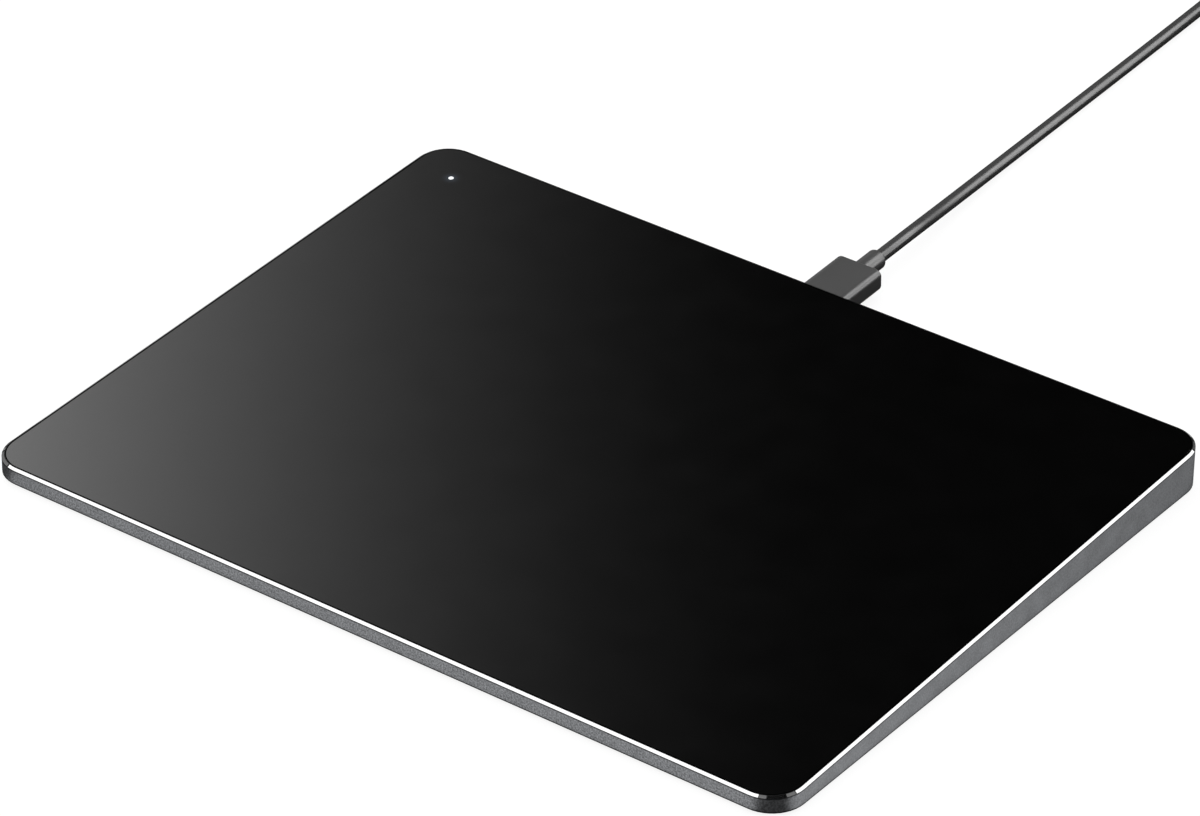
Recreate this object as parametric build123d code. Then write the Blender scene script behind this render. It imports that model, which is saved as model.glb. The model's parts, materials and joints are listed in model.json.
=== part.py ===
from build123d import *
import math
import os

# A wedge trackpad: a glass plate that clicks, let into a metal ring, with its lead plugged in.
# Millimetres. The origin is on the desk under the middle of the pad, +Z is up, +Y is the rear
# edge where the lead plugs in, and +X is the right side.
# The glass and all that follows its slope are placed on the deck: a plane through the glass's
# top face. There "along" runs up the slope towards the rear and "depth" runs down into the pad.

# The pad's outside
pad_width = 190.0
pad_depth = 144.0
corner_radius = 7.3
foot_drop = 0.72  # the casing's underside above the desk
front_lip_height = 3.28  # the wall at the front, from the underside up to its chamfer
rear_lip_height = 8.66
chamfer_in = 0.49
chamfer_down = 0.37
base_ease = 0.12  # the small bevel round the underside
wall_reach = 2.6  # from the outside face to the ring's open middle
overrun = 1.0  # how far every cut runs past the face that it opens

# The bottom cover, its screws and the feet
cover_thick = 0.9
cover_inset = 1.2
cover_gap = 0.1
cover_screw_inset = 5.6
boss_radius = 2.5
cover_shank_radius = 0.8
cover_shank_gap = 0.12
cover_head_radius = 1.5
cover_head_height = 0.65
cover_head_sink = 0.04
cover_head_gap = 0.06
cover_screw_length = 2.1
cover_drive_length = 1.9
cover_drive_width = 0.4
cover_drive_depth = 0.4
thread_gap = 0.02
thread_room = 0.15  # the hole's length past the end of any screw
foot_radius = 5.0
foot_sink = 0.4
foot_gap = 0.1
foot_ease = 0.3
foot_inset_x = 19.0
foot_inset_y = 16.0

# The glass plate and the layers bonded under it
rim_width = 0.2
glass_gap = 0.12
glass_thick = 0.7
glass_ease = 0.1
ledge_depth = 1.35
bond_thick = 0.1
bond_inset = 0.8
sensor_thick = 0.8
sensor_inset = 3.2
stiffener_thick = 0.4
stiffener_inset = 3.5
boss_room = 0.5  # round each screw boss, where the layers are notched
window_room = 0.5  # round each component that stands in a hole in the stiffener
touch_chip_size = 7.0
touch_chip_height = 0.8
touch_chip_x = 34.0
touch_chip_ahead = 60.0

# The status light
light_side = 10.9
light_back = 10.65
light_window_radius = 0.55
light_gap = 0.02
light_guide_radius = 0.5
light_guide_gap = 0.1
led_length = 1.6
led_width = 0.8
led_height = 0.35

# The click switch under the front of the plate, its strike pad and the stops
click_travel = 0.3
switch_ahead = 14.0
switch_width = 4.4
switch_length = 3.4
switch_height = 0.55
plunger_radius = 0.8
plunger_gap = 0.05
plunger_hold = 0.2  # what stays inside the switch
plunger_spare = 0.03  # what still shows when the plate is down
plunger_ease = 0.15
strike_gap = 0.04
strike_radius = 2.0
stop_gap = 0.02
stop_radius = 2.5
stop_inset_x = 25.0
stop_ahead = 12.0

# The two hinges near the rear edge
hinge_board_gap = 5.0  # from the main board's right end to the bracket beside it
hinge_back = 8.05
pin_radius = 0.6
pin_gap = 0.03
pin_press_gap = 0.01
knuckle_length = 8.0
knuckle_reach = 1.3  # from the pin's axis to the knuckle's front and rear faces
knuckle_drop = 1.6  # from the stiffener down to the pin's axis
knuckle_foot = 1.2  # from the pin's axis down to the knuckle's flat end
heel_gap = 0.03
ear_gap = 0.15
ear_thick = 0.8
ear_radius = 1.3
bracket_length = 18.0
bracket_depth = 6.4
bracket_thick = 0.6
bracket_screw_reach = 7.2
seat_margin = 0.8

# The small pan-head screws of the brackets and the board
small_shank_radius = 0.7
small_head_radius = 1.2
small_head_height = 0.5
small_screw_bite = 1.0
small_hole_gap = 0.08
small_drive_length = 1.5
small_drive_width = 0.3
small_drive_depth = 0.25

# The socket for the lead, in the rear wall
port_height = 2.98  # its axis above the casing's underside
port_x = 0.27  # from the pad's middle to the right
port_width = 8.94
port_tall = 3.16
port_wall = 0.3
port_length = 7.6
port_recess = 0.3
port_opening_gap = 0.13
port_tab_length = 1.2
port_tab_reach = 1.2
port_tab_lap = 0.2
port_tab_thick = 0.3
port_tab_places = (-3.6, -5.8)
tongue_base = 1.3
tongue_width = 6.69
tongue_thick = 0.7
tongue_length = 5.2
tongue_gap = 0.02

# The main board
board_thick = 0.8
board_left = 28.0
board_right = 46.0
board_back = 3.2
board_span = 22.8
board_port_gap = 0.2
lug_width = 5.2
lug_reach = 2.6
board_screw_back = 5.85
board_screw_left = 23.0
board_screw_middle = 14.0
board_screw_right = 42.5
board_pad_length = 24.0
board_pad_width = 3.0
board_pad_x = 16.0
board_pad_inset = 1.0

# What is soldered on the main board, each placed across from the socket and ahead of the rear edge
main_chip_size = 6.0
main_chip_height = 0.85
main_chip_x = -10.0
main_chip_back = 15.5
charge_chip_size = 3.0
charge_chip_height = 0.75
charge_chip_x = 12.0
charge_chip_back = 14.0
wireless_chip_size = 5.0
wireless_chip_height = 0.8
can_length = 9.0
can_width = 8.0
can_height = 1.5
can_wall = 0.15
can_x = -21.5
can_back = 14.5

# The flat cable between the plate and the main board
flex_width = 6.0
flex_thick = 0.12
flex_slot_gap = 0.12
flex_hold = 1.2
flex_slot_length = 1.5
flex_connector_width = 8.0
flex_connector_length = 3.0
flex_connector_height = 1.0
flex_slot_drop = 0.6  # the upper slot below the sensor board
flex_slot_rise = 0.5  # the lower slot above the main board
flex_upper_back = 18.0
flex_lower_back = 22.0
flex_bight_back = 24.6

# The battery
cell_length = 62.0
cell_width = 40.0
cell_thick = 2.6
cell_ease = 0.5
cell_side = 17.0
tape_thick = 0.15
tape_inset = 3.0
tab_length = 20.0
tab_width = 2.2
tab_thick = 1.2
tab_end_inset = 1.0
wire_radius = 0.4
wire_pitch = 1.6
wire_lead = 2.0  # straight out of each end
wire_span = 4.85  # from the cell's tab board to the main board
battery_socket_width = 5.0
battery_socket_length = 3.5
battery_socket_height = 1.6
battery_socket_x = -24.0
battery_socket_inset = 1.0  # from the board's front edge to the socket's face

# The power switch in the rear wall
power_x = 34.0
power_body_width = 8.6
power_body_length = 3.4
power_body_height = 2.2
power_travel = 2.4
knob_width = 4.4
knob_tall = 2.0
knob_thick = 1.3
knob_recess = 0.4
knob_gap = 0.15
knob_rib_height = 0.3
knob_rib_width = 0.4
knob_rib_pitch = 0.9
knob_rib_count = 4
stem_width = 1.4
stem_tall = 1.0
stem_hold = 1.2
stem_gap = 0.12
power_slot_depth = 1.7

# The pairing button in the bottom cover
pairing_x = 26.0
pairing_back = 12.0
pairing_travel = 0.15
pairing_body_width = 3.4
pairing_body_length = 2.8
pairing_body_height = 0.5
pairing_plunger_radius = 0.7
pairing_plunger_show = 0.2
pairing_plunger_hold = 0.1
pairing_plunger_gap = 0.05
pairing_bore_room = 0.05
button_gap = 0.05
button_nub_radius = 0.75
button_nub_height = 0.1
button_flange_radius = 2.1
button_flange_thick = 0.15
button_radius = 1.5
button_hole_gap = 0.12
button_sink = 0.05

# The lead's plug at the pad
plug_gap = 0.6  # between the rear wall and the plug's body
plug_width = 11.05
plug_tall = 5.0
plug_length = 16.6
plug_edge_radius = 1.45
plug_end_radius = 0.5
plug_shell_width = 8.25
plug_shell_tall = 2.4
plug_shell_wall = 0.25
plug_shell_length = 6.65
plug_insert_gap = 0.025
plug_insert_recess = 0.2
plug_cavity_width = 6.95
plug_cavity_tall = 0.95
plug_cavity_length = 5.0
relief_radius = 2.2
relief_length = 6.4
relief_end_radius = 0.6

# The lead
cord_radius = 1.43
cord_lead = 7.6  # straight out of the plug's collar
bend_share = 0.45
coil_inner_radius = 10.7
coil_pitch = 3.3
coil_rise = 3.3
inward_quarters = 13
reversal_quarters = 2
outward_quarters = 14
coil_lead = 2.75
tie_width = 4.0
tie_thick = 0.35
tie_gap = 0.1
tie_corner_radius = 1.6
tie_place_share = 0.375  # of a turn after the coil's start

# The plug at the lead's far end
far_relief_radius = 2.6
far_relief_tip_radius = 1.9
far_relief_length = 9.0
far_body_width = 15.6
far_body_tall = 8.0
far_body_length = 24.0
far_body_edge_radius = 2.0
far_body_end_radius = 0.8
far_shell_width = 12.0
far_shell_tall = 4.5
far_shell_wall = 0.3
far_shell_length = 12.0
far_shell_edge_radius = 0.4
far_window_size = 2.2
far_window_reach = 2.6  # from the plug's middle line to each window's centre
far_window_back = 6.2  # from the body to each window's centre
far_insert_gap = 0.02
far_insert_thick = 1.9
far_insert_base = 3.0
far_insert_recess = 0.4

# The lead's route past its straight start: across, back and up. It ends high enough for the
# tie's band to pass under the coil.
run_route = [
    (-0.33, 110.9, 4.45),
    (-2.07, 124.4, 2.87),
    (-4.13, 150.0, 1.455),
    (-5.8, 201.5, 1.455),
    (-6.62, 229.0, 1.675),
    (-7.18, 245.5, 1.925),
    (-7.53, 256.5, 1.925),
]
# The far end's route from where the coil lets go: ahead, to the left, and up
tail_route = [
    (9.0, 0.0, 0.0),
    (19.0, -1.4, -0.5),
    (28.0, -4.0, -1.2),
    (34.0, -5.8, -1.2),
]

# Worked out from the sizes above
tilt = math.atan2(rear_lip_height - front_lip_height, pad_depth)
deck_mid_height = foot_drop + (front_lip_height + rear_lip_height) / 2 + chamfer_down
deck_length = pad_depth / math.cos(tilt)
deck = Plane(
    origin=(0, 0, deck_mid_height),
    x_dir=(1, 0, 0),
    z_dir=(0, -math.sin(tilt), math.cos(tilt)),
)
port_plane = Plane(
    origin=(port_x, pad_depth / 2, foot_drop + port_height),
    x_dir=(-1, 0, 0),
    z_dir=(0, math.cos(tilt), math.sin(tilt)),
)
rim_inset = chamfer_in + rim_width
cover_top = foot_drop + cover_thick
bond_depth = glass_thick
sensor_depth = bond_depth + bond_thick
sensor_under = sensor_depth + sensor_thick
stiffener_under = sensor_under + stiffener_thick
hinge_x = board_right + hinge_board_gap + bracket_length / 2
hinge_along = deck_length / 2 - hinge_back
switch_along = -deck_length / 2 + switch_ahead
click_angle = math.atan2(click_travel, hinge_along - switch_along)
pin_depth = stiffener_under + knuckle_drop
bracket_floor = pin_depth + knuckle_foot + heel_gap
seat_depth = bracket_floor + bracket_thick
ear_offset = (knuckle_length + ear_thick) / 2 + ear_gap
port_depth = pad_depth / 2 * math.sin(tilt) + (
    deck_mid_height - foot_drop - port_height
) * math.cos(tilt)
board_top = port_depth - board_thick / 2
board_under = port_depth + board_thick / 2
board_rear = deck_length / 2 - board_back
board_front = board_rear - board_span
board_screw_along = deck_length / 2 - board_screw_back
switch_under = sensor_under + switch_height
plunger_tip = switch_under + click_travel + plunger_spare
pairing_along = deck_length / 2 - pairing_back
pairing_under = board_under + pairing_body_height
knob_depth = board_top - power_body_height / 2

BOTTOM = (Align.CENTER, Align.CENTER, Align.MIN)
TOP = (Align.CENTER, Align.CENTER, Align.MAX)
SIDES = (-1, 1)


def on_deck(x, along, depth):
    """The place on the sloping deck: across, up the slope, and below the glass's top face."""
    return deck.location * Pos(x, along, -depth)


def deck_point(x, along, depth):
    return on_deck(x, along, depth).position


def below_deck(solid, depth):
    """What is left of a solid under the plane that runs parallel to the glass at a depth."""
    above = Box(2 * pad_width, 2 * pad_depth, 4 * rear_lip_height, align=BOTTOM)
    return solid - on_deck(0, 0, depth) * above


def wall_along(depth):
    """Where the rear wall's upright face is, along the deck, at a depth."""
    return deck_length / 2 - depth * math.tan(tilt)


def pad_outline(inset):
    return RectangleRounded(pad_width - 2 * inset, pad_depth - 2 * inset, corner_radius - inset)


def deck_outline(inset):
    return RectangleRounded(pad_width - 2 * inset, deck_length - 2 * inset, corner_radius - inset)


def cover_screw_places():
    x = pad_width / 2 - cover_screw_inset
    y = pad_depth / 2 - cover_screw_inset
    return [(side * x, end * y) for side in SIDES for end in (-1, 0, 1)]


def span(first, last):
    """A rectangle between two corners."""
    (x0, y0), (x1, y1) = first, last
    return Pos((x0 + x1) / 2, (y0 + y1) / 2) * Rectangle(abs(x1 - x0), abs(y1 - y0))


def boss_outline(grow):
    """The screw bosses seen from above, each joined to the wall beside it."""
    radius = boss_radius + grow
    outline = Sketch()
    for x, y in cover_screw_places():
        side = math.copysign(1, x)
        wall_x = side * pad_width / 2
        outline += Pos(x, y) * Circle(radius)
        if y == 0:
            outline += span((x, -radius), (wall_x, radius))
            continue
        end = math.copysign(1, y)
        wall_y = end * pad_depth / 2
        outline += span((x, y - end * radius), (wall_x, wall_y))
        outline += span((x - side * radius, y), (wall_x, wall_y))
    return outline


def bored(solid, place, radius, length):
    """The solid with a round hole that starts at a place and runs down its own axis."""
    return solid - place * Cylinder(radius, length, align=TOP)


def cross_recess(length, width, depth):
    """The cross that a screwdriver turns, as a solid to cut, its open end upwards."""
    bar = Box(length, width, depth + overrun, align=BOTTOM)
    return Pos(0, 0, -depth) * (bar + Rot(0, 0, 90) * bar)


def small_screw(bite):
    """A pan-head screw, its head resting at zero, that reaches a bite down."""
    shank = Cylinder(small_shank_radius, bite, align=TOP)
    head = Cylinder(small_head_radius, small_head_height, align=BOTTOM)
    recess = cross_recess(small_drive_length, small_drive_width, small_drive_depth)
    return head + shank - Pos(0, 0, small_head_height) * recess


# The casing


def hinge_places():
    return [side * hinge_x for side in SIDES]


def bracket_screw_places():
    return [
        on_deck(x + side * bracket_screw_reach, hinge_along, bracket_floor)
        for x in hinge_places()
        for side in SIDES
    ]


def board_screw_xs():
    return (-board_screw_left, board_screw_middle, board_screw_right)


def board_screw_places():
    return [on_deck(x, board_screw_along, board_top) for x in board_screw_xs()]


def rear_lug(x, width, front_along, depth):
    """A seat that grows out of the rear wall, with its top parallel to the glass."""
    front = deck_point(x, front_along, depth).Y
    rear = pad_depth / 2 - cover_inset
    seat = Box(width, rear - front, 2 * rear_lip_height, align=BOTTOM)
    return below_deck(Pos(x, (front + rear) / 2, cover_top) * seat, depth)


def housing_frame():
    tall = 2 * rear_lip_height
    ring = below_deck(Pos(0, 0, foot_drop) * extrude(pad_outline(0), amount=tall), 0)
    top = ring.faces().sort_by(Axis.Z)[-1]
    ring = chamfer(top.edges(), chamfer_in, chamfer_down, reference=top)
    ring = chamfer(ring.faces().sort_by(Axis.Z)[0].edges(), base_ease)
    under = Pos(0, 0, foot_drop - overrun)
    ring -= on_deck(0, 0, -overrun) * extrude(deck_outline(rim_inset), amount=-ledge_depth - overrun)
    ring -= under * extrude(pad_outline(wall_reach), amount=tall)
    ring -= under * extrude(pad_outline(cover_inset), amount=cover_thick + overrun)
    bosses = extrude(boss_outline(0) & pad_outline(cover_inset), amount=tall)
    ring += below_deck(Pos(0, 0, cover_top) * bosses, ledge_depth)
    for x in hinge_places():
        seat_front = hinge_along - bracket_depth / 2 - seat_margin
        ring += rear_lug(x, bracket_length + 2 * seat_margin, seat_front, seat_depth)
    for x in board_screw_xs():
        ring += rear_lug(x, lug_width, board_screw_along - lug_reach, board_under)
    cover_hole = Cylinder(cover_shank_radius + thread_gap, cover_screw_length + thread_room, align=BOTTOM)
    for x, y in cover_screw_places():
        ring -= Pos(x, y, foot_drop + cover_head_sink) * cover_hole
    small_hole = small_shank_radius + thread_gap
    for place in bracket_screw_places():
        ring = bored(ring, place, small_hole, bracket_thick + small_screw_bite + thread_room)
    for place in board_screw_places():
        ring = bored(ring, place, small_hole, board_thick + small_screw_bite + thread_room)
    opening = SlotOverall(port_width + 2 * port_opening_gap, port_tall + 2 * port_opening_gap)
    ring -= port_plane.location * extrude(opening, amount=2 * wall_reach, both=True)
    slot = Box(
        knob_width + power_travel + 2 * knob_gap, 4 * wall_reach, knob_tall + 2 * knob_gap
    )
    ring -= on_deck(power_x, wall_along(knob_depth), knob_depth) * slot
    return ring


def bottom_cover():
    cover = Pos(0, 0, foot_drop) * extrude(pad_outline(cover_inset + cover_gap), amount=cover_thick)
    through = Cylinder(cover_shank_radius + cover_shank_gap, cover_thick + overrun, align=BOTTOM)
    sink = Cone(
        cover_head_radius + cover_head_gap,
        cover_shank_radius + cover_head_gap,
        cover_head_height,
        align=BOTTOM,
    )
    mouth = Cylinder(cover_head_radius + cover_head_gap, cover_head_sink, align=BOTTOM)
    for x, y in cover_screw_places():
        cover -= Pos(x, y, foot_drop) * (through + Pos(0, 0, cover_head_sink) * sink + mouth)
    pocket = Cylinder(foot_radius + foot_gap, foot_sink, align=BOTTOM)
    for x, y in foot_places().values():
        cover -= Pos(x, y, foot_drop) * pocket
    hole = Cylinder(button_radius + button_hole_gap, cover_thick + overrun, align=BOTTOM)
    return cover - Pos(pairing_x, button_place().Y, foot_drop) * hole


def cover_screws():
    head = Cone(cover_head_radius, cover_shank_radius, cover_head_height, align=BOTTOM)
    shank = Cylinder(cover_shank_radius, cover_screw_length, align=BOTTOM)
    recess = Rot(180, 0, 0) * cross_recess(cover_drive_length, cover_drive_width, cover_drive_depth)
    screw = head + shank - recess
    return [Pos(x, y, foot_drop + cover_head_sink) * screw for x, y in cover_screw_places()]


def foot_places():
    x = pad_width / 2 - foot_inset_x
    y = pad_depth / 2 - foot_inset_y
    return {
        "foot_front_left": (-x, -y),
        "foot_front_right": (x, -y),
        "foot_rear_left": (-x, y),
        "foot_rear_right": (x, y),
    }


def foot(place):
    pad = Cylinder(foot_radius, foot_drop + foot_sink, align=BOTTOM)
    pad = fillet(pad.edges().sort_by(Axis.Z)[0], foot_ease)
    return Pos(*place) * pad


# The glass plate with what is bonded and soldered under it


def light_place(depth):
    return on_deck(-pad_width / 2 + light_side, deck_length / 2 - light_back, depth)


def touch_glass():
    glass = extrude(deck_outline(rim_inset + glass_gap), amount=-glass_thick)
    glass = chamfer(glass.edges().group_by(Axis.Z)[-1], glass_ease)
    hole = light_window_radius + light_gap
    return bored(on_deck(0, 0, 0) * glass, light_place(-overrun), hole, 2 * overrun + glass_thick)


def indicator_window():
    return light_place(0) * Cylinder(light_window_radius, glass_thick, align=TOP)


def bonding_sheet():
    sheet = on_deck(0, 0, bond_depth) * extrude(deck_outline(bond_inset + rim_inset), amount=-bond_thick)
    return bored(sheet, light_place(0), light_guide_radius + light_guide_gap, 2 * sensor_under)


def notched_layer(inset, depth, thick):
    """A bonded layer, cut back round each screw boss."""
    notches = extrude(boss_outline(boss_room), amount=4 * rear_lip_height)
    return on_deck(0, 0, depth) * extrude(deck_outline(inset), amount=-thick) - notches


def sensor_board():
    board = notched_layer(sensor_inset, sensor_depth, sensor_thick)
    return bored(board, light_place(0), light_guide_radius + light_guide_gap, 2 * sensor_under)


def light_guide():
    guide = Cylinder(light_guide_radius, bond_thick + sensor_thick, align=TOP)
    return light_place(bond_depth) * guide


def indicator_led():
    return light_place(sensor_under) * Box(led_length, led_width, led_height, align=TOP)


def touch_controller():
    chip = Box(touch_chip_size, touch_chip_size, touch_chip_height, align=TOP)
    return on_deck(touch_chip_x, -deck_length / 2 + touch_chip_ahead, sensor_under) * chip


def click_switch_body():
    body = Box(switch_width, switch_length, switch_height, align=TOP)
    bore = Cylinder(plunger_radius + plunger_gap, 2 * switch_height, align=TOP)
    return on_deck(0, switch_along, sensor_under) * (body - bore)


def click_switch_plunger():
    length = plunger_hold + plunger_tip - switch_under
    plunger = Cylinder(plunger_radius, length, align=BOTTOM)
    plunger = fillet(plunger.edges().sort_by(Axis.Z)[0], plunger_ease)
    return on_deck(0, switch_along, plunger_tip) * plunger


def stiffener_plate():
    plate = notched_layer(stiffener_inset, sensor_under, stiffener_thick)
    holes = [
        (touch_chip_x, -deck_length / 2 + touch_chip_ahead, touch_chip_size, touch_chip_size),
        (0, switch_along, switch_width, switch_length),
        (0, deck_length / 2 - flex_upper_back, flex_connector_width, flex_connector_length),
        (-pad_width / 2 + light_side, deck_length / 2 - light_back, led_length, led_width),
    ]
    for x, along, width, length in holes:
        hole = Box(width + 2 * window_room, length + 2 * window_room, 2 * stiffener_under)
        plate -= on_deck(x, along, stiffener_under) * hole
    bore = Rot(0, 90, 0) * Cylinder(pin_radius + pin_gap, 2 * knuckle_length)
    for x in hinge_places():
        knuckle = Box(knuckle_length, 2 * knuckle_reach, knuckle_drop + knuckle_foot, align=TOP)
        plate += on_deck(x, hinge_along, stiffener_under) * knuckle
        plate -= on_deck(x, hinge_along, pin_depth) * bore
    return plate


def flex_connector(slot_height):
    """A socket for the flat cable, its base at zero and its slot open to the front."""
    body = Box(flex_connector_width, flex_connector_length, flex_connector_height, align=BOTTOM)
    slot = Box(
        flex_width + 2 * flex_slot_gap, 2 * flex_slot_length, flex_thick + 2 * flex_slot_gap
    )
    return body - Pos(0, -flex_connector_length / 2, slot_height) * slot


def sensor_flex_connector():
    along = deck_length / 2 - flex_upper_back
    turned = Rot(0, 180, 0) * flex_connector(flex_slot_drop)
    return on_deck(0, along, sensor_under) * turned


def main_flex_connector():
    return on_deck(0, deck_length / 2 - flex_lower_back, board_top) * flex_connector(flex_slot_rise)


def flex_cable():
    """A flat strip that leaves one socket forwards, turns down and back, and enters the other."""
    upper = sensor_under + flex_slot_drop
    lower = board_top - flex_slot_rise
    radius = (lower - upper) / 2
    bight = deck_length / 2 - flex_bight_back + radius
    strip = Pos(0, bight, -upper - radius) * Rot(0, 90, 0) * (
        Cylinder(radius + flex_thick / 2, flex_width) - Cylinder(radius - flex_thick / 2, flex_width)
    )
    strip -= Pos(0, bight, -upper - radius) * Box(
        2 * flex_width, 4 * radius, 4 * radius, align=(Align.CENTER, Align.MIN, Align.CENTER)
    )
    for depth, back in ((upper, flex_upper_back), (lower, flex_lower_back)):
        end = deck_length / 2 - back - flex_connector_length / 2 + flex_hold
        leg = Box(flex_width, end - bight, flex_thick, align=(Align.CENTER, Align.MIN, Align.CENTER))
        strip += Pos(0, bight, -depth) * leg
    return deck.location * strip


# The hinges, the switch's pad and the stops


def hinge_bracket(x):
    base = Box(bracket_length, bracket_depth, bracket_thick, align=TOP)
    bracket = base
    rise = bracket_floor - pin_depth
    bore = Cylinder(pin_radius + pin_press_gap, 2 * ear_thick)
    for side in SIDES:
        ear = Box(ear_thick, 2 * ear_radius, rise, align=BOTTOM)
        ear += Pos(0, 0, rise) * Rot(0, 90, 0) * Cylinder(ear_radius, ear_thick)
        ear -= Pos(0, 0, rise) * Rot(0, 90, 0) * bore
        bracket += Pos(side * ear_offset, 0, 0) * ear
        hole = Cylinder(small_shank_radius + small_hole_gap, 4 * bracket_thick)
        bracket -= Pos(side * bracket_screw_reach, 0, 0) * hole
    return on_deck(x, hinge_along, bracket_floor) * bracket


def hinge_pin(x):
    length = 2 * ear_offset + ear_thick
    return on_deck(x, hinge_along, pin_depth) * Rot(0, 90, 0) * Cylinder(pin_radius, length)


def bracket_screws():
    screw = small_screw(bracket_thick + small_screw_bite)
    return [place * screw for place in bracket_screw_places()]


def floor_post(x, along, depth, radius):
    """A round pad on the bottom cover, with its top parallel to the glass."""
    place = deck_point(x, along, depth)
    post = Pos(x, place.Y, cover_top) * Cylinder(radius, rear_lip_height, align=BOTTOM)
    return below_deck(post, depth)


def strike_pad():
    return floor_post(0, switch_along, plunger_tip + strike_gap, strike_radius)


def stop_bumper(side):
    along = -deck_length / 2 + stop_ahead
    fall = (hinge_along - along) * math.tan(click_angle)
    x = side * (pad_width / 2 - stop_inset_x)
    return floor_post(x, along, stiffener_under + fall + stop_gap, stop_radius)


# The main board and what is on it


def board_part(x, back, width, length, height):
    return on_deck(x, deck_length / 2 - back, board_top) * Box(width, length, height, align=BOTTOM)


def main_board():
    width = board_left + board_right
    board = Box(width, board_span, board_thick, align=TOP)
    board = on_deck((board_right - board_left) / 2, (board_front + board_rear) / 2, board_top) * board
    notch_length = port_recess + port_length + board_port_gap
    notch = Box(
        port_width + 2 * board_port_gap,
        2 * port_tall,
        2 * notch_length,
    )
    board -= port_plane.location * notch
    for place in board_screw_places():
        board = bored(board, place, small_shank_radius + small_hole_gap, 2 * board_thick)
    return board


def board_screws():
    screw = small_screw(board_thick + small_screw_bite)
    return [place * screw for place in board_screw_places()]


def board_support_pad():
    along = board_front + board_pad_inset + board_pad_width / 2
    place = deck_point(board_pad_x, along, board_under)
    pad = Box(board_pad_length, board_pad_width, rear_lip_height, align=BOTTOM)
    return below_deck(Pos(board_pad_x, place.Y, cover_top) * pad, board_under)


def port_shell():
    width, tall = port_width, port_tall
    inside = SlotOverall(width - 2 * port_wall, tall - 2 * port_wall)
    shell = Pos(0, 0, -port_recess) * extrude(SlotOverall(width, tall) - inside, amount=-port_length)
    lift = board_thick / 2 + port_tab_thick / 2
    for side in SIDES:
        for back in port_tab_places:
            x = side * (width / 2 - port_tab_lap + port_tab_reach / 2)
            shell += Pos(x, lift, back) * Box(port_tab_reach, port_tab_thick, port_tab_length)
    return port_plane.location * shell


def port_tongue():
    width = port_width - 2 * port_wall - 2 * tongue_gap
    tall = port_tall - 2 * port_wall - 2 * tongue_gap
    base = extrude(SlotOverall(width, tall), amount=tongue_base)
    tongue = Box(tongue_width, tongue_thick, tongue_base + tongue_length, align=BOTTOM)
    return port_plane.location * Pos(0, 0, -port_recess - port_length) * (base + tongue)


def main_controller():
    return board_part(main_chip_x, main_chip_back, main_chip_size, main_chip_size, main_chip_height)


def charge_controller():
    size = charge_chip_size
    return board_part(charge_chip_x, charge_chip_back, size, size, charge_chip_height)


def wireless_chip():
    size = wireless_chip_size
    return board_part(can_x, can_back, size, size, wireless_chip_height)


def shield_can():
    inside = Box(
        can_length - 2 * can_wall, can_width - 2 * can_wall, can_height - can_wall, align=BOTTOM
    )
    can = Box(can_length, can_width, can_height, align=BOTTOM) - inside
    return on_deck(can_x, deck_length / 2 - can_back, board_top) * can


# The battery and its wires


def cell_middle_x():
    return -pad_width / 2 + cell_side + cell_length / 2


def tab_rear():
    return deck_point(0, board_front, board_top).Y - wire_span


def cell_middle_y():
    return tab_rear() - tab_width - cell_width / 2


def battery_cell():
    cell = Box(cell_length, cell_width, cell_thick, align=BOTTOM)
    cell = fillet(cell.edges().filter_by(Axis.Y), cell_ease)
    return Pos(cell_middle_x(), cell_middle_y(), cover_top + tape_thick) * cell


def battery_tape():
    tape = Box(cell_length - 2 * tape_inset, cell_width - 2 * tape_inset, tape_thick, align=BOTTOM)
    return Pos(cell_middle_x(), cell_middle_y(), cover_top) * tape


def tab_height():
    return cover_top + tape_thick + cell_thick / 2


def battery_tab_board():
    x = cell_middle_x() + cell_length / 2 - tab_end_inset - tab_length / 2
    return Pos(x, tab_rear() - tab_width / 2, tab_height()) * Box(tab_length, tab_width, tab_thick)


def battery_socket():
    along = board_front + battery_socket_inset + battery_socket_length / 2
    body = Box(battery_socket_width, battery_socket_length, battery_socket_height, align=BOTTOM)
    return on_deck(battery_socket_x, along, board_top) * body


def battery_wire(side):
    x = battery_socket_x + side * wire_pitch / 2
    depth = board_top - battery_socket_height / 2
    face = board_front + battery_socket_inset
    ahead = deck_point(x, face - wire_lead, depth)
    end = deck_point(x, face, depth)
    points = [
        (x, tab_rear(), tab_height()),
        (x, tab_rear() + wire_lead, tab_height()),
        (x, ahead.Y, ahead.Z),
        (x, end.Y, end.Z),
    ]
    return tube(filleted(points), wire_radius)


# The power switch and the pairing button


def power_switch_body():
    body = Box(power_body_width, power_body_length, power_body_height)
    slot = Box(
        stem_width + power_travel + 2 * stem_gap, 2 * power_slot_depth, stem_tall + 2 * stem_gap
    )
    body -= Pos(0, power_body_length / 2, 0) * slot
    return on_deck(power_x, board_rear - power_body_length / 2, knob_depth) * body


def power_switch_slider():
    face = wall_along(knob_depth) - knob_recess
    front_align = (Align.CENTER, Align.MAX, Align.CENTER)
    knob = Pos(0, face, 0) * Box(knob_width, knob_thick, knob_tall, align=front_align)
    for index in range(knob_rib_count):
        x = (index - (knob_rib_count - 1) / 2) * knob_rib_pitch
        rib = Box(knob_rib_width, 2 * knob_rib_height, knob_tall)
        knob += Pos(x, face, 0) * rib
    stem_length = face - board_rear + stem_hold
    knob += Pos(0, face, 0) * Box(stem_width, stem_length, stem_tall, align=front_align)
    return on_deck(power_x - power_travel / 2, 0, knob_depth) * knob


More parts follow.
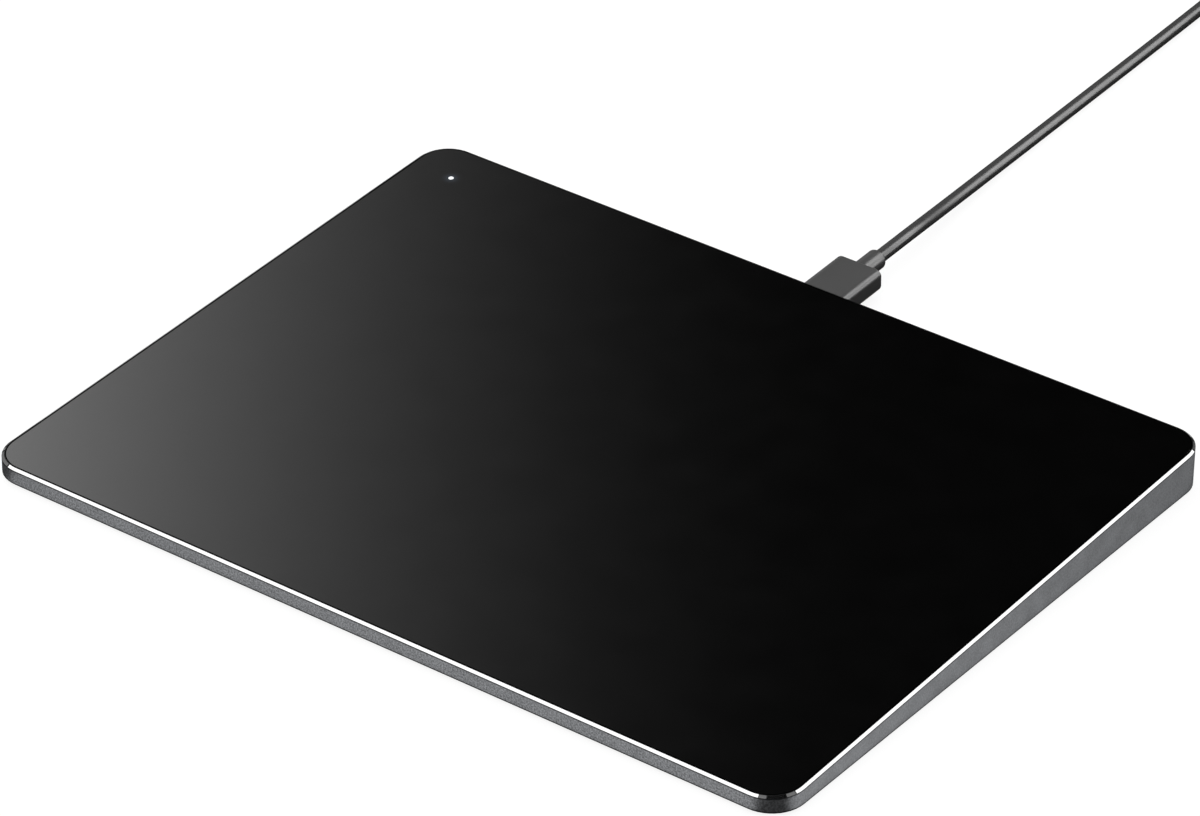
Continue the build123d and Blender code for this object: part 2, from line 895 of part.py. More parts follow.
def pairing_switch_body():
    body = Box(pairing_body_width, pairing_body_length, pairing_body_height, align=TOP)
    bore_length = pairing_plunger_hold + pairing_travel + pairing_bore_room
    bore = Cylinder(pairing_plunger_radius + pairing_plunger_gap, bore_length, align=BOTTOM)
    body -= Pos(0, 0, -pairing_body_height) * bore
    return on_deck(pairing_x, pairing_along, board_under) * body


def pairing_switch_plunger():
    length = pairing_plunger_hold + pairing_plunger_show
    plunger = Cylinder(pairing_plunger_radius, length, align=BOTTOM)
    return on_deck(pairing_x, pairing_along, pairing_under + pairing_plunger_show) * plunger


def button_place():
    """Where the plunger's tip is over the button."""
    return deck_point(pairing_x, pairing_along, pairing_under + pairing_plunger_show)


def pairing_button():
    tip = button_place()
    top = tip.Z - button_gap
    flange_top = top - button_nub_height
    nub = Cylinder(button_nub_radius, button_nub_height, align=BOTTOM)
    flange = Cylinder(button_flange_radius, button_flange_thick, align=TOP)
    cap = Cylinder(button_radius, flange_top - foot_drop - button_sink, align=TOP)
    return Pos(pairing_x, tip.Y, flange_top) * (nub + flange + cap)


# The lead


def bend_radii(points):
    """The largest arc that each corner's two runs leave room for."""
    radii = []
    for before, at, after in zip(points, points[1:], points[2:]):
        run_in = Vector(*at) - Vector(*before)
        run_out = Vector(*after) - Vector(*at)
        half_turn = math.radians(run_in.get_angle(run_out)) / 2
        radii.append(bend_share * min(run_in.length, run_out.length) / math.tan(half_turn))
    return radii


def filleted(points):
    return FilletPolyline(*points, radius=bend_radii(points))


def tube(path, radius):
    return sweep(Plane(origin=path @ 0, z_dir=path % 0) * Circle(radius), path=path)


def plug_c_shell():
    width, tall = plug_shell_width, plug_shell_tall
    inside = SlotOverall(width - 2 * plug_shell_wall, tall - 2 * plug_shell_wall)
    shell = extrude(SlotOverall(width, tall) - inside, amount=-plug_shell_length)
    return port_plane.location * Pos(0, 0, plug_gap) * shell


def plug_c_insert():
    width = plug_shell_width - 2 * plug_shell_wall - 2 * plug_insert_gap
    tall = plug_shell_tall - 2 * plug_shell_wall - 2 * plug_insert_gap
    length = plug_shell_length - plug_insert_recess
    insert = extrude(SlotOverall(width, tall), amount=-length)
    cavity = Box(plug_cavity_width, plug_cavity_tall, plug_cavity_length + overrun, align=TOP)
    insert -= Pos(0, 0, plug_cavity_length - length) * cavity
    return port_plane.location * Pos(0, 0, plug_gap) * insert


def plug_c_body():
    body = extrude(RectangleRounded(plug_width, plug_tall, plug_edge_radius), amount=plug_length)
    body = fillet(body.edges().group_by(Axis.Z)[-1], plug_end_radius)
    body = fillet(body.edges().group_by(Axis.Z)[0], plug_end_radius)
    return port_plane.location * Pos(0, 0, plug_gap) * body


def plug_c_relief():
    relief = Cylinder(relief_radius, relief_length, align=BOTTOM)
    relief = fillet(relief.edges().sort_by(Axis.Z)[-1], relief_end_radius)
    return port_plane.location * Pos(0, 0, plug_gap + plug_length) * relief


def run_points():
    out = plug_gap + plug_length + relief_length
    straight = [port_plane.location * Pos(0, 0, reach) for reach in (out, out + cord_lead)]
    return [*(tuple(place.position) for place in straight), *run_route]


def coil_state(turned):
    """The coil's radius and rise after a turn in radians, and how fast each changes."""
    quarter = math.pi / 2
    inward = inward_quarters * quarter
    reversal = reversal_quarters * quarter
    rate = coil_pitch / math.tau
    if turned <= inward:
        return coil_inner_radius + rate * (inward - turned), 0, -rate, 0
    past = turned - inward
    if past < reversal:
        share = past / reversal
        radius = coil_inner_radius - rate * past * (1 - share)
        rise = coil_rise * (1 - math.cos(math.pi * share)) / 2
        climb = coil_rise * math.sin(math.pi * share) * math.pi / 2 / reversal
        return radius, rise, -rate * (1 - 2 * share), climb
    return coil_inner_radius + rate * (past - reversal), coil_rise, rate, 0


def coil_node(turned):
    """A point of the coil and its direction there, about the coil's own middle."""
    radius, rise, widening, climb = coil_state(turned)
    angle = math.pi - turned
    cosine, sine = math.cos(angle), math.sin(angle)
    point = Vector(radius * cosine, radius * sine, rise)
    direction = Vector(widening * cosine + radius * sine, widening * sine - radius * cosine, climb)
    return point, direction.normalized()


def coil_frame():
    """Where the coil's middle lies, turned so that the run leads straight into the first turn."""
    last, end = (Vector(*point) for point in run_route[-2:])
    heading = (end - last).normalized()
    start, direction = coil_node(0)
    turn = math.degrees(math.atan2(heading.Y, heading.X) - math.atan2(direction.Y, direction.X))
    first = Rot(0, 0, turn) * Pos(*start)
    middle = end + heading * coil_lead - first.position
    return Pos(*middle) * Rot(0, 0, turn)


def biarc(start, start_direction, end, end_direction):
    """Two arcs that leave one point in its direction and meet the other in its own."""
    chord = end - start
    total = start_direction + end_direction
    closeness = 2 * (1 - start_direction.dot(end_direction))
    along = chord.dot(total)
    reach = (math.sqrt(along**2 + closeness * chord.dot(chord)) - along) / closeness
    before = start + start_direction * reach
    after = end - end_direction * reach
    middle = (before + after) / 2
    return [
        Edge.make_tangent_arc(start, start_direction, middle),
        Edge.make_tangent_arc(middle, after - before, end),
    ]


def coil_path():
    quarters = inward_quarters + reversal_quarters + outward_quarters
    nodes = [coil_node(index * math.pi / 2) for index in range(quarters + 1)]
    first, first_direction = nodes[0]
    last, last_direction = nodes[-1]
    edges = [Edge.make_line(first - first_direction * coil_lead, first)]
    for (start, leaving), (end, arriving) in zip(nodes, nodes[1:]):
        edges += biarc(start, leaving, end, arriving)
    edges.append(Edge.make_line(last, last + last_direction * coil_lead))
    return coil_frame() * Wire(edges)


def coil_exit():
    """The frame at the coil's loose end: X runs on along the cord and Y is to its left."""
    path = coil_path()
    return Plane(origin=path @ 1, x_dir=path % 1, z_dir=(0, 0, 1))


def tail_points():
    frame = coil_exit()
    points = [(0, 0, 0), *tail_route]
    return [tuple(frame.from_local_coords(Vector(*point))) for point in points]


def cable_tie():
    """A band round all the turns at one side of the coil."""
    turned = tie_place_share * math.tau
    radii = []
    quarters = inward_quarters + reversal_quarters + outward_quarters
    total = quarters * math.pi / 2
    while turned < total:
        radius, rise, widening, climb = coil_state(turned)
        radii.append(radius)
        turned += math.tau
    bow = tie_width / 2 * math.tan(tie_width / 2 / (min(radii) - cord_radius))
    inner = min(radii) - cord_radius - tie_gap - bow
    outer = max(radii) + cord_radius + tie_gap
    low = -cord_radius - tie_gap
    high = coil_rise + cord_radius + tie_gap
    width, tall = outer - inner, high - low
    hole = RectangleRounded(width, tall, tie_corner_radius - tie_thick)
    band = RectangleRounded(width + 2 * tie_thick, tall + 2 * tie_thick, tie_corner_radius) - hole
    band = Rot(90, 0, 0) * extrude(band, amount=tie_width / 2, both=True)
    band = Pos((inner + outer) / 2, 0, (low + high) / 2) * band
    angle = 180 - math.degrees(tie_place_share * math.tau)
    return coil_frame() * Rot(0, 0, angle) * band


def far_plug_plane():
    before, end = (Vector(*point) for point in tail_points()[-2:])
    return Plane(origin=end, x_dir=Vector(0, 0, 1).cross(end - before), z_dir=end - before)


def plug_a_relief():
    relief = Cone(far_relief_tip_radius, far_relief_radius, far_relief_length, align=BOTTOM)
    return far_plug_plane().location * relief


def plug_a_body():
    outline = RectangleRounded(far_body_width, far_body_tall, far_body_edge_radius)
    body = extrude(outline, amount=far_body_length)
    body = fillet(body.edges().group_by(Axis.Z)[-1], far_body_end_radius)
    body = fillet(body.edges().group_by(Axis.Z)[0], far_body_end_radius)
    return far_plug_plane().location * Pos(0, 0, far_relief_length) * body


def far_shell_place():
    return far_plug_plane().location * Pos(0, 0, far_relief_length + far_body_length)


def plug_a_shell():
    wall = far_shell_wall
    outline = RectangleRounded(far_shell_width, far_shell_tall, far_shell_edge_radius)
    inside = Rectangle(far_shell_width - 2 * wall, far_shell_tall - 2 * wall)
    shell = extrude(outline - inside, amount=far_shell_length)
    window = Box(far_window_size, 2 * far_shell_tall, far_window_size)
    for side in SIDES:
        place = Pos(side * far_window_reach, far_shell_tall, far_window_back)
        shell -= place * window
    return far_shell_place() * shell


def plug_a_insert():
    width = far_shell_width - 2 * far_shell_wall - 2 * far_insert_gap
    tall = far_shell_tall - 2 * far_shell_wall - 2 * far_insert_gap
    length = far_shell_length - far_insert_recess
    insert = Box(width, tall, far_insert_base, align=BOTTOM)
    shelf = Box(width, far_insert_thick, length, align=(Align.CENTER, Align.MIN, Align.MIN))
    return far_shell_place() * (insert + Pos(0, -tall / 2, 0) * shelf)


def least_gap(path, step, radius):
    """The least space between a wound cord's turns, measured on points along it."""
    count = math.ceil(path.length / step)
    points = [path @ (index / count) for index in range(count + 1)]
    skipped = math.ceil(math.pi * coil_inner_radius / path.length * count)
    least = path.length
    for index, point in enumerate(points):
        for other in points[index + skipped :]:
            least = min(least, (point - other).length)
    return least - 2 * radius


def as_list(made):
    return made if isinstance(made, list) else [made]


def pieces():
    """Every node's name with the solid, or the list of solids, that it holds."""
    made = {
        "housing_frame": housing_frame(),
        "bottom_cover": bottom_cover(),
        "cover_screws": cover_screws(),
        "touch_glass": touch_glass(),
        "indicator_window": indicator_window(),
        "bonding_sheet": bonding_sheet(),
        "sensor_board": sensor_board(),
        "light_guide": light_guide(),
        "indicator_led": indicator_led(),
        "touch_controller": touch_controller(),
        "stiffener_plate": stiffener_plate(),
        "click_switch_body": click_switch_body(),
        "click_switch_plunger": click_switch_plunger(),
        "sensor_flex_connector": sensor_flex_connector(),
        "main_flex_connector": main_flex_connector(),
        "flex_cable": flex_cable(),
        "bracket_screws": bracket_screws(),
        "strike_pad": strike_pad(),
        "stop_bumper_left": stop_bumper(-1),
        "stop_bumper_right": stop_bumper(1),
        "main_board": main_board(),
        "board_screws": board_screws(),
        "board_support_pad": board_support_pad(),
        "port_shell": port_shell(),
        "port_tongue": port_tongue(),
        "main_controller": main_controller(),
        "charge_controller": charge_controller(),
        "wireless_chip": wireless_chip(),
        "shield_can": shield_can(),
        "battery_cell": battery_cell(),
        "battery_tape": battery_tape(),
        "battery_tab_board": battery_tab_board(),
        "battery_socket": battery_socket(),
        "battery_wire_positive": battery_wire(1),
        "battery_wire_negative": battery_wire(-1),
        "power_switch_body": power_switch_body(),
        "power_switch_slider": power_switch_slider(),
        "pairing_switch_body": pairing_switch_body(),
        "pairing_switch_plunger": pairing_switch_plunger(),
        "pairing_button": pairing_button(),
        "plug_c_shell": plug_c_shell(),
        "plug_c_insert": plug_c_insert(),
        "plug_c_body": plug_c_body(),
        "plug_c_relief": plug_c_relief(),
        "cable_run": tube(filleted(run_points()), cord_radius),
        "cable_coil": tube(coil_path(), cord_radius),
        "cable_tail": tube(filleted(tail_points()), cord_radius),
        "cable_tie": cable_tie(),
        "plug_a_relief": plug_a_relief(),
        "plug_a_body": plug_a_body(),
        "plug_a_shell": plug_a_shell(),
        "plug_a_insert": plug_a_insert(),
    }
    for name, place in foot_places().items():
        made[name] = foot(place)
    for name, x in zip(("left", "right"), hinge_places()):
        made[f"hinge_bracket_{name}"] = hinge_bracket(x)
        made[f"hinge_pin_{name}"] = hinge_pin(x)
    return made


def print_cord(made):
    """The cord's lengths, bends and gaps, and each tube's volume beside its section times its length."""
    paths = {
        "cable_run": filleted(run_points()),
        "cable_coil": coil_path(),
        "cable_tail": filleted(tail_points()),
    }
    for name, path in paths.items():
        expected = math.pi * cord_radius**2 * path.length
        print(name, "length", round(path.length, 1), "volume share", round(made[name].volume / expected, 5))
    for name, points in (("cable_run", run_points()), ("cable_tail", tail_points())):
        print(name, "bend radii", [round(radius, 1) for radius in bend_radii(points)])
    print("cord length", round(sum(path.length for path in paths.values()), 1))
    print("coil's least gap", round(least_gap(paths["cable_coil"], cord_radius / 2, cord_radius), 3))


def main():
    os.makedirs("parts", exist_ok=True)
    made = pieces()
    for name, solid in made.items():
        export_step(Compound(children=as_list(solid)), f"parts/{name}.step")
    print_cord(made)


main()
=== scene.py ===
import json
import math

import bpy
from mathutils import Matrix, Vector


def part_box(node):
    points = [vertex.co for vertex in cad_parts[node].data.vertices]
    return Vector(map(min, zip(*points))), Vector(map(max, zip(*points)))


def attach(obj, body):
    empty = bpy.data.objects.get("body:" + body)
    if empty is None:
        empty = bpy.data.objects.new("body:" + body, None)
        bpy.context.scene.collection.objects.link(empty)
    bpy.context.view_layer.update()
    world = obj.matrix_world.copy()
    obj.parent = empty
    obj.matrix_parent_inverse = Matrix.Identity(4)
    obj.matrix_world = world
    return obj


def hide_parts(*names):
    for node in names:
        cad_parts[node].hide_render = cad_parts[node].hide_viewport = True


# A wedge trackpad on a white floor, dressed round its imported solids. Metres, in the solids' frame:
# +X is the pad's right side, +Y its tall rear edge and +Z up.
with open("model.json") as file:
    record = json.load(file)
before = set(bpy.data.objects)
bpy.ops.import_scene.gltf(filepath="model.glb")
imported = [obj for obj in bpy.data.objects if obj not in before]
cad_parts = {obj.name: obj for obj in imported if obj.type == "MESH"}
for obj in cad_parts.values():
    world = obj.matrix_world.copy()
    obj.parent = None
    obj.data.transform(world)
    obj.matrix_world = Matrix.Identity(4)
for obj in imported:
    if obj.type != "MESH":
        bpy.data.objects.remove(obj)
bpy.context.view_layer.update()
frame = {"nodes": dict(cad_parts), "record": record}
nodes = frame["nodes"]

MM = 0.001

# The camera, as the photograph's straight edges give it
photo_width = 1200
camera_azimuth = 36.49
camera_elevation = 32.45
camera_roll = 0.584
camera_place = Vector((0.6080, -0.8214, 0.6660))
sensor_width = 36.0
focal_length = 187.3
clip_near, clip_far = 0.01, 50

# The pad's outline and the slanted edge round its top
pad_low, pad_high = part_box("housing_frame")
pad_width, pad_depth = (pad_high - pad_low).xy
foot_drop = pad_low.z
corner_radius = 7.3 * MM
chamfer_in = 0.49 * MM
chamfer_down = 0.37 * MM
glass_face_from = 0.91 * MM

# The pad's slope
deck_tilt = math.radians(2.1396)
deck_middle = Vector((0, 0, 7.06 * MM))
deck_normal = Vector((0, -math.sin(deck_tilt), math.cos(deck_tilt)))

# The cord, with its routes and its coil in millimetres
cord_diameter = 2.86 * MM
cord_exit = (0.27 * MM, 95.5835 * MM, 4.5811 * MM)
cord_lead_end = (0.27 * MM, 103.1782 * MM, 4.8648 * MM)
run_route = [
    (-0.33, 110.9, 4.45),
    (-2.07, 124.4, 2.87),
    (-4.13, 150.0, 1.455),
    (-5.8, 201.5, 1.455),
    (-6.62, 229.0, 1.675),
    (-7.18, 245.5, 1.925),
    (-7.53, 256.5, 1.925),
]
tail_route = [
    (9.0, 0.0, 0.0),
    (19.0, -1.4, -0.5),
    (28.0, -4.0, -1.2),
    (34.0, -5.8, -1.2),
]
coil_inner_radius = 10.7
coil_pitch = 3.3
coil_rise = 3.3
coil_lead = 2.75
inward_turns = 3.25
reversal_turns = 0.5
outward_turns = 3.5
coil_turns = inward_turns + reversal_turns + outward_turns
points_per_turn = 24

# The woven tie round the coil's turns, in millimetres
tie_width = 4.0
tie_thick = 0.35
tie_gap = 0.1
tie_corner_radius = 1.6
tie_place_share = 0.375
tie_overlap = 8.0
tie_climb = 1.4
tie_layer_gap = 0.02
tie_tip_share = 0.1
weave_pitch = 0.3
weave_depth = 0.05


def add_object(name, data):
    made = bpy.data.objects.new(name, data)
    bpy.context.scene.collection.objects.link(made)
    return made


def facing(right, up, back):
    """A turn that carries an object's own axes onto three directions."""
    return Matrix((right, up, back)).transposed().to_4x4()


def make_camera():
    azimuth, elevation = math.radians(camera_azimuth), math.radians(camera_elevation)
    back = Vector(
        (
            math.sin(azimuth) * math.cos(elevation),
            -math.cos(azimuth) * math.cos(elevation),
            math.sin(elevation),
        )
    )
    level_right = Vector((math.cos(azimuth), math.sin(azimuth), 0))
    level_up = back.cross(level_right)
    roll = math.radians(camera_roll)
    right = level_right * math.cos(roll) + level_up * math.sin(roll)
    up = back.cross(right)
    data = bpy.data.cameras.new("camera")
    data.sensor_width = sensor_width
    data.lens = focal_length
    data.clip_start = clip_near
    data.clip_end = clip_far
    camera = add_object("camera", data)
    camera.matrix_world = Matrix.Translation(camera_place) @ facing(right, up, back)
    bpy.context.scene.camera = camera
    return right, up, back


camera_right, camera_up, camera_back = make_camera()


# The cord, on one smooth line from the plug's collar, through the coil, to the far plug


def coil_point(turns):
    """A point of the coil about its own middle, and the way the cord runs there, in millimetres."""
    rate = coil_pitch / math.tau
    turned = turns * math.tau
    inward, reversal = inward_turns * math.tau, reversal_turns * math.tau
    past = turned - inward
    rise, climb = 0, 0
    if past <= 0:
        radius, widening = coil_inner_radius - rate * past, -rate
    elif past < reversal:
        share = past / reversal
        radius = coil_inner_radius - rate * past * (1 - share)
        widening = -rate * (1 - 2 * share)
        rise = coil_rise * (1 - math.cos(math.pi * share)) / 2
        climb = coil_rise * math.sin(math.pi * share) * math.pi / 2 / reversal
    else:
        radius, widening, rise = coil_inner_radius + rate * (past - reversal), rate, coil_rise
    angle = math.pi - turned
    cosine, sine = math.cos(angle), math.sin(angle)
    point = Vector((radius * cosine, radius * sine, rise))
    along = Vector((widening * cosine + radius * sine, widening * sine - radius * cosine, climb))
    return point, along.normalized()


def coil_matrix():
    """Turns the coil so that the run leads straight into it."""
    last, end = (Vector(point) for point in run_route[-2:])
    heading = (end - last).normalized()
    start, along = coil_point(0)
    turn = math.atan2(heading.y, heading.x) - math.atan2(along.y, along.x)
    turned = Matrix.Rotation(turn, 4, "Z")
    return Matrix.Translation(end + heading * coil_lead - turned @ start) @ turned


def cord_points():
    lay = coil_matrix()
    count = round(coil_turns * points_per_turn)
    coil = [lay @ coil_point(index * coil_turns / count)[0] for index in range(count + 1)]
    end, along = coil_point(coil_turns)
    along = lay.to_3x3() @ along
    side = Vector((0, 0, 1)).cross(along)
    exit_point = lay @ end + along * coil_lead
    tail = [exit_point]
    for ahead, aside, up in tail_route:
        tail.append(exit_point + along * ahead + side * aside + Vector((0, 0, up)))
    route = [Vector(point) for point in run_route] + coil + tail
    return [Vector(cord_exit), Vector(cord_lead_end)] + [point * MM for point in route]


def make_cord():
    curve = bpy.data.curves.new("lead_cord", "CURVE")
    curve.dimensions = "3D"
    curve.bevel_depth = 1
    curve.bevel_resolution = 6
    curve.resolution_u = 5
    spline = curve.splines.new("NURBS")
    points = cord_points()
    spline.points.add(len(points) - 1)
    for made, point in zip(spline.points, points):
        made.co = (*point, 1)
        made.radius = cord_diameter / 2
    spline.order_u = 3
    spline.use_endpoint_u = True
    cord = add_object("lead_cord", curve)
    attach(cord, "lead")
    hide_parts("cable_run", "cable_coil", "cable_tail")
    return cord


# The woven tie, a band round all the turns with its free end laid over its start


def band_section():
    """The rounded rectangle that the band follows: its middle and half its width and height."""
    radii = []
    turned = tie_place_share
    while turned < coil_turns:
        radii.append(coil_point(turned)[0].xy.length)
        turned += 1
    cord_radius = cord_diameter / MM / 2

    # the inner turn curves and the band is flat, so a bow between them keeps its edges clear
    bow = tie_width / 2 * math.tan(tie_width / 2 / (min(radii) - cord_radius))
    inner = min(radii) - cord_radius - tie_gap - bow - tie_thick / 2
    outer = max(radii) + cord_radius + tie_gap + tie_thick / 2
    half_up = (coil_rise + tie_thick) / 2 + cord_radius + tie_gap
    return Vector(((inner + outer) / 2, 0, coil_rise / 2)), (outer - inner) / 2, half_up


def band_place(reached, half_across, half_up, radius):
    """A point on a rounded rectangle, from its top side's left end, and the way out of it."""
    run, rise, bend = 2 * (half_across - radius), 2 * (half_up - radius), radius * math.pi / 2
    reached %= 2 * (run + rise) + 4 * bend
    for quarter in range(4):
        straight, reach = ((run, half_up), (rise, half_across))[quarter % 2]
        if reached < straight + bend or quarter == 3:
            break
        reached -= straight + bend
    angle = max(0, reached - straight) / radius
    out = Vector((math.sin(angle), math.cos(angle)))
    point = Vector((min(reached, straight) - straight / 2, reach - radius)) + radius * out
    turned = Matrix.Rotation(-quarter * math.pi / 2, 2)
    return turned @ point, turned @ out


def band_layer(reached, loop):
    """How far out the band lies, and what share of its width it has, at a length along it."""
    climbed = min(max((reached - loop + tie_climb) / tie_climb, 0), 1)
    lift = (tie_thick + tie_layer_gap) * climbed * climbed * (3 - 2 * climbed)
    end_radius = tie_width / 2
    into_end = max(0, reached - loop - tie_overlap + end_radius) / end_radius
    return lift, math.sqrt(max(1 - into_end**2, tie_tip_share**2))


def band_faces(rows, columns):
    """Joins each ring of points to the next, and closes both ends."""
    ring = 2 * (columns + 1)
    faces = []
    for row in range(rows):
        first, second = row * ring, (row + 1) * ring
        for index in range(ring):
            after = (index + 1) % ring
            faces.append((first + index, second + index, second + after, first + after))
    for start, turned_in in ((0, False), (rows * ring, True)):
        for column in range(columns):
            cap = [column, column + 1, ring - 2 - column, ring - 1 - column]
            faces.append([start + index for index in (reversed(cap) if turned_in else cap)])
    return faces


def band_mesh():
    """Rings of points across the band, the outer face first, every other point sunk as in a weave."""
    middle, half_across, half_up = band_section()
    radius = tie_corner_radius - tie_thick / 2
    loop = 4 * (half_across + half_up - 2 * radius) + math.tau * radius
    total = loop + tie_overlap
    rows, columns = round(total / weave_pitch), round(tie_width / weave_pitch)
    place = coil_matrix() @ Matrix.Rotation(math.pi - tie_place_share * math.tau, 4, "Z")
    points = []
    for row in range(rows + 1):
        reached = total * row / rows
        at, out = band_place(reached, half_across, half_up, radius)
        lift, share = band_layer(reached, loop)
        for face in (1, -1):
            for column in range(columns + 1)[::face]:
                aside = (column / columns - 0.5) * tie_width * share
                sunk = weave_depth * ((row + column) % 2)
                flat = at + out * (lift + face * (tie_thick / 2 - sunk))
                points.append(place @ (middle + Vector((flat.x, aside, flat.y))) * MM)
    mesh = bpy.data.meshes.new("woven_tie")
    mesh.from_pydata(points, [], band_faces(rows, columns))
    mesh.shade_smooth()
    return mesh


def make_tie():
    tie = add_object("woven_tie", band_mesh())
    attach(tie, "lead")
    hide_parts("cable_tie")
    return tie


woven_tie = make_tie()
lead_cord = make_cord()


# Shader nodes

# Noise keeps to the middle of 0 to 1
noise_low, noise_high = 0.3, 0.7


def node(tree, kind, inputs=None, **settings):
    """A shader node; inputs are numbers, colours or other nodes' outputs by socket name or place."""
    made = tree.nodes.new(kind)
    for key, value in settings.items():
        setattr(made, key, value)
    for key, value in (inputs or {}).items():
        socket = made.inputs[key]
        if isinstance(value, bpy.types.NodeSocket):
            tree.links.new(value, socket)
        else:
            socket.default_value = value
    return made


def arithmetic(tree, operation, *values):
    return node(tree, "ShaderNodeMath", dict(enumerate(values)), operation=operation).outputs[0]


def product(tree, first, *others):
    for value in others:
        first = arithmetic(tree, "MULTIPLY", first, value)
    return first


def vector_math(tree, operation, *values):
    """The outputs: a vector, and a number under the name Value."""
    return node(tree, "ShaderNodeVectorMath", dict(enumerate(values)), operation=operation).outputs


def axes(tree, vector):
    return node(tree, "ShaderNodeSeparateXYZ", {0: vector}).outputs


def own_place(tree):
    """The place on the object, in the object's own metres."""
    return node(tree, "ShaderNodeTexCoord").outputs["Object"]


def spread(tree, value, first, last, low, high, smooth=False):
    """Carries a value from one range to another, and holds it there."""
    kind = "SMOOTHSTEP" if smooth else "LINEAR"
    places = {"Value": value, "From Min": first, "From Max": last, "To Min": low, "To Max": high}
    return node(tree, "ShaderNodeMapRange", places, interpolation_type=kind).outputs["Result"]


def blend(tree, share, first, last):
    """Between two colours."""
    return node(tree, "ShaderNodeMix", {0: share, 6: first, 7: last}, data_type="RGBA").outputs[2]


def between(tree, share, first, last):
    """Between two numbers."""
    return node(tree, "ShaderNodeMix", {0: share, 2: first, 3: last}, data_type="FLOAT").outputs[0]


def noise(tree, size, detail, stretch=(1, 1, 1)):
    """Cloudy noise with features of about a size, in metres, drawn out along the axes."""
    place = own_place(tree)
    if tuple(stretch) != (1, 1, 1):
        place = vector_math(tree, "MULTIPLY", place, [1 / share for share in stretch])[0]
    inputs = {"Vector": place, "Scale": 1 / size, "Detail": detail, "Roughness": 0.5}
    return node(tree, "ShaderNodeTexNoise", inputs).outputs["Fac"]


def varied(tree, cloud, low, high):
    """Carries noise to a range."""
    return spread(tree, cloud, noise_low, noise_high, low, high)


def raised(tree, height, depth):
    inputs = {"Height": height, "Distance": depth, "Strength": 1.0}
    return node(tree, "ShaderNodeBump", inputs).outputs["Normal"]


def grey(level):
    return (level, level, level, 1)


def shader(name, colour, roughness, metallic=0.0, **more):
    """A material with its even values set, its node tree, and its principled shader."""
    material = bpy.data.materials.new(name)
    material.use_nodes = True
    tree = material.node_tree
    surface = tree.nodes["Principled BSDF"]
    values = {"Base Color": colour, "Roughness": roughness, "Metallic": metallic}
    for key, value in {**values, **more}.items():
        surface.inputs[key.replace("_", " ")].default_value = value
    return material, tree, surface


def connect(tree, surface, **links):
    for key, output in links.items():
        tree.links.new(output, surface.inputs[key.replace("_", " ")])


def empty_tree(owner):
    """The node tree of a material or a world, with nothing in it."""
    owner.use_nodes = True
    owner.node_tree.nodes.clear()
    return owner.node_tree


# The ring's metal: its blasted grain, with painted light in the grain's contrast, a darker line under its
# cut edge, painted shade at its foot and in the gap round the glass, and its cut edge

blast_size = 0.36 * MM
fine_blast_size = 0.12 * MM
fine_blast_share = 0.4
blast_depth = 0.014 * MM
blast_low, blast_high = 0.32, 0.68
blast_swing = 0.4
# painted light: the share of the grain's contrast that the side walls keep, for the different light on them
painted_side_contrast_share = 0.35
metal_cloud_size = 3.5 * MM
metal_cloud_swing = 0.1
metal_grey = (0.5, 0.51, 0.525, 1)
metal_dark = (0.24, 0.246, 0.257, 1)
metal_pale = (0.74, 0.757, 0.787, 1)

# Just under the cut edge the wall keeps only a share of its colour, and over its underside it keeps only a
# share as painted shade where shade falls by the floor
under_cut_starts, under_cut_full = 0.42 * MM, 0.14 * MM
under_cut_share = 0.22
foot_shade_full, foot_shade_ends = 0.24 * MM, 0.5 * MM
foot_shade_share = 0.15

# The cut edge is told by the cosine of the angle between the way it faces and the deck's
cut_starts, cut_full, cut_fades, cut_ends = 0.45, 0.6, 0.9, 0.97
cut_line_size = 0.05 * MM
cut_line_stretch = (30, 30, 1)
gap_fade = 0.03 * MM


def outline_depth(tree):
    """How far a point lies inside the pad's rounded outline, seen from above."""
    x, y = axes(tree, own_place(tree))[:2]
    past = []
    for value, half in ((x, pad_width / 2), (y, pad_depth / 2)):
        reach = arithmetic(tree, "ABSOLUTE", value)
        past.append(arithmetic(tree, "SUBTRACT", reach, half - corner_radius))
    round_part = [arithmetic(tree, "MAXIMUM", value, 0) for value in past]
    corner = node(tree, "ShaderNodeCombineXYZ", dict(enumerate(round_part))).outputs[0]
    length = vector_math(tree, "LENGTH", corner)["Value"]
    flat = arithmetic(tree, "MINIMUM", arithmetic(tree, "MAXIMUM", *past), 0)
    return arithmetic(tree, "SUBTRACT", corner_radius, arithmetic(tree, "ADD", length, flat))


def blasted_surface(tree, normal):
    """The blasted metal's colour, roughness and height."""
    grain = noise(tree, size=blast_size, detail=1)
    fine = noise(tree, size=fine_blast_size, detail=1)
    cloud = noise(tree, size=metal_cloud_size, detail=3)

    # painted light: the grain's contrast is stronger on the front and rear walls and fainter on the sides,
    # standing in for how the light falls across them
    along_y = arithmetic(tree, "ABSOLUTE", axes(tree, normal)[1])
    painted_light_contrast = spread(tree, along_y, 0, 1, painted_side_contrast_share, 1)
    speckle = product(tree, spread(tree, grain, blast_low, blast_high, -blast_swing, blast_swing), painted_light_contrast)
    shade = varied(tree, cloud, 0.5 - metal_cloud_swing, 0.5 + metal_cloud_swing)
    colour = blend(tree, arithmetic(tree, "ADD", speckle, shade), metal_dark, metal_pale)
    height = arithmetic(tree, "ADD", grain, product(tree, fine, fine_blast_share))
    return colour, varied(tree, cloud, 0.43, 0.48), height


